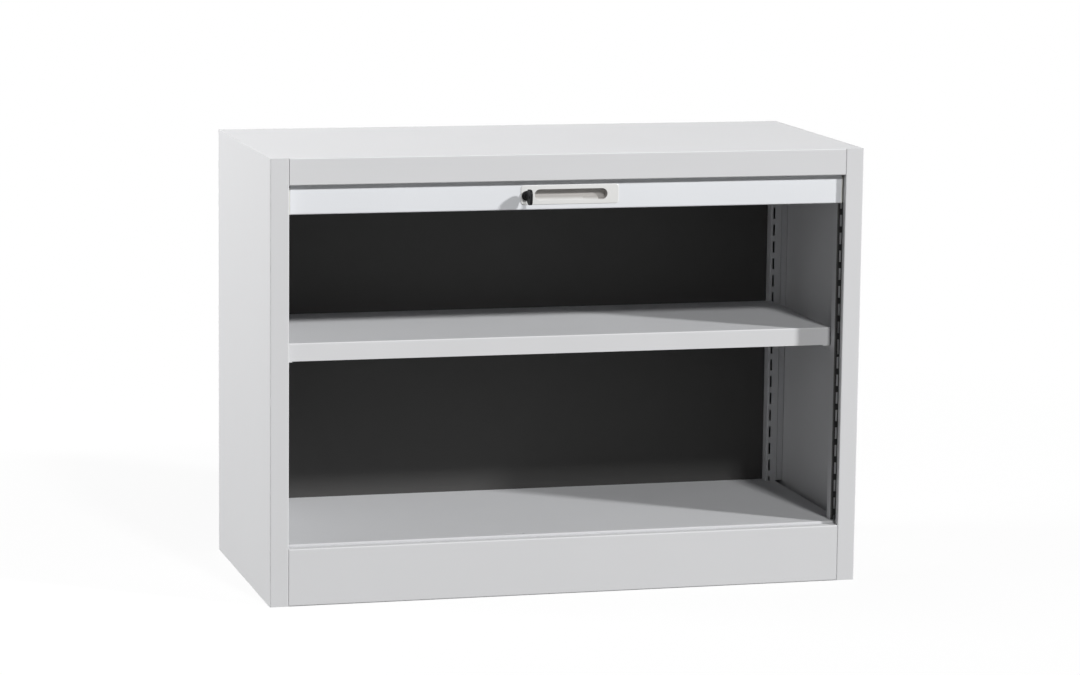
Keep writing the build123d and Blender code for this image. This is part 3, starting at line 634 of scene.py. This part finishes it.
lock_black = (0.010, 0.010, 0.011)
key_black = (0.008, 0.008, 0.009)
steel_tone = (0.60, 0.60, 0.59)
paint_nodes(plated_black("lock_plating", lock_black), "lock_housing", "lock_plug")
paint_nodes(brushed_steel("key_steel", steel_tone, (1, 0.05, 1)), "key_blade")
key_plastic = moulded_plastic("key_plastic", key_black, 0.45, 0.10)
key_plastic.node_tree.nodes["Principled BSDF"].inputs["IOR"].default_value = 1.22
paint_nodes(key_plastic, "key_bow")
housing_round = 0.0004
bow_round = 0.0008
softened("lock_housing", "lock_housing_rounded", "shutter", housing_round)
softened("key_bow", "key_bow_moulded", "lock", bow_round)
paint_nodes(brushed_steel("lock_steel", steel_tone, (0.05, 1, 1)), "hook_cam", "cam_screw")

# ---------------------------------------------------------------- floor and background
# Seamless studio floor that shows white and keeps the cabinet's soft shadow, in front of a white
# background that lights nothing.
floor_size = 60.0
floor_white = (0.90, 0.90, 0.90)
floor_shade = (0.12, 0.12, 0.12)  # what the floor throws back at the cabinet
shadow_share = 0.10  # how much of the lit floor shows through its white near the cabinet
shadow_fade = 0.8  # metres from the middle at which that share starts to fade
shadow_reach = 2.4  # metres from the middle at which the white alone is left
white = (1.0, 1.0, 1.0, 1.0)
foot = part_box("right_side_panel")[1]


def seen_white(tree):
    """Share of the rays that see the background: 1 for those of camera, gloss and glass."""
    path = tree.nodes.new("ShaderNodeLightPath")
    kinds = ("Is Camera Ray", "Is Glossy Ray", "Is Transmission Ray")
    camera_ray, glossy_ray, glass_ray = (Port(tree, path.outputs[kind]) for kind in kinds)
    seen = camera_ray + glossy_ray + glass_ray
    return seen.maths("MINIMUM", seen, 1.0)


bpy.ops.object.select_all(action="DESELECT")
bpy.ops.mesh.primitive_plane_add(size=floor_size, location=(0, 0, 0))
floor = bpy.context.object
floor.name = "studio_floor"
floor_paint, floor_shader, floor_point = new_finish("studio_floor_white")
floor_tree = floor_paint.node_tree
floor_tree.nodes.remove(floor_shader)
seen = seen_white(floor_tree)
bounce = seen.node("ShaderNodeBsdfDiffuse", {"Color": (*floor_shade, 1.0)})
lit = seen.node("ShaderNodeBsdfDiffuse", {"Color": (*floor_white, 1.0)})
glow = seen.node("ShaderNodeEmission", {"Color": white, "Strength": 1.0})
ground = seen.node("ShaderNodeMixShader", {0: seen, 1: bounce, 2: lit})
away = floor_point.node("ShaderNodeVectorMath", {0: floor_point}, output=1, operation="LENGTH")
near = away.node(
    "ShaderNodeMapRange", {0: away, 1: shadow_fade, 2: shadow_reach, 3: shadow_share, 4: 0.0}
)
floor_x = floor_point.node("ShaderNodeSeparateXYZ", {0: floor_point}, output=0)
floor_y = floor_point.node("ShaderNodeSeparateXYZ", {0: floor_point}, output=1)
within_x = floor_x.maths("LESS_THAN", floor_x.maths("ABSOLUTE", floor_x), foot.x)
within_y = floor_y.maths("LESS_THAN", floor_y.maths("ABSOLUTE", floor_y), foot.y)
open_floor = 1 - within_x * within_y  # under the cabinet it stays dark
white_share = seen * (1 - near) * open_floor
shown = seen.node("ShaderNodeMixShader", {0: white_share, 1: ground, 2: glow})
floor_tree.links.new(shown.socket, floor_tree.nodes["Material Output"].inputs["Surface"])
floor.data.materials.append(floor_paint)

world = bpy.data.worlds.new("studio")
bpy.context.scene.world = world
world.use_nodes = True
world_tree = world.node_tree
sky = world_tree.nodes["Background"]
sky.inputs["Color"].default_value = white
world_tree.links.new(seen_white(world_tree).socket, sky.inputs["Strength"])

# ---------------------------------------------------------------- lamps
# Soft boxes round the cabinet: two distant ones in front that draw its inner shadows, and three
# wide ones that fill. Azimuth counts from the front, to the right.
aim = Vector((0, 0, 0.40))


def soft_box(name, azimuth, elevation, distance, size, power):
    """Square area lamp that looks at the cabinet, in degrees, metres and watts."""
    turn = radians(azimuth)
    rise = radians(elevation)
    away = Vector((sin(turn) * cos(rise), -cos(turn) * cos(rise), sin(rise)))
    bpy.ops.object.light_add(type="AREA", location=aim + away * distance)
    lamp = bpy.context.object
    lamp.name = name
    lamp.rotation_mode = "QUATERNION"
    lamp.rotation_quaternion = away.to_track_quat("Z", "Y")
    lamp.data.shape = "SQUARE"
    lamp.data.size = size
    lamp.data.energy = power


soft_box("key_lamp", 52, 26, 20.0, 1.4, 3340)
soft_box("front_lamp", 9, 38, 20.0, 1.6, 1880)
soft_box("fill_lamp", -35, 12, 6.0, 3.0, 24)
soft_box("left_lamp", -98, 27, 7.0, 2.8, 375)
soft_box("back_lamp", -165, 10, 9.0, 3.0, 430)

# ---------------------------------------------------------------- camera
# A long lens from the left, a little above the top, slightly turned about its own axis.
camera_place = (-1.6652, -6.1857, 1.3997)
camera_yaw = 15.151
camera_pitch = 8.938
camera_roll = 0.673
focal_length = 127.63
bpy.ops.object.camera_add()
camera = bpy.context.object
camera.matrix_world = (
    Matrix.Translation(camera_place)
    @ Matrix.Rotation(radians(-camera_yaw), 4, "Z")
    @ Matrix.Rotation(pi / 2 - radians(camera_pitch), 4, "X")
    @ Matrix.Rotation(radians(camera_roll), 4, "Z")
)
camera.data.sensor_width = 36.0
camera.data.lens = focal_length
camera.data.clip_end = 200.0
bpy.context.scene.camera = camera
bpy.context.scene.view_settings.view_transform = "Standard"
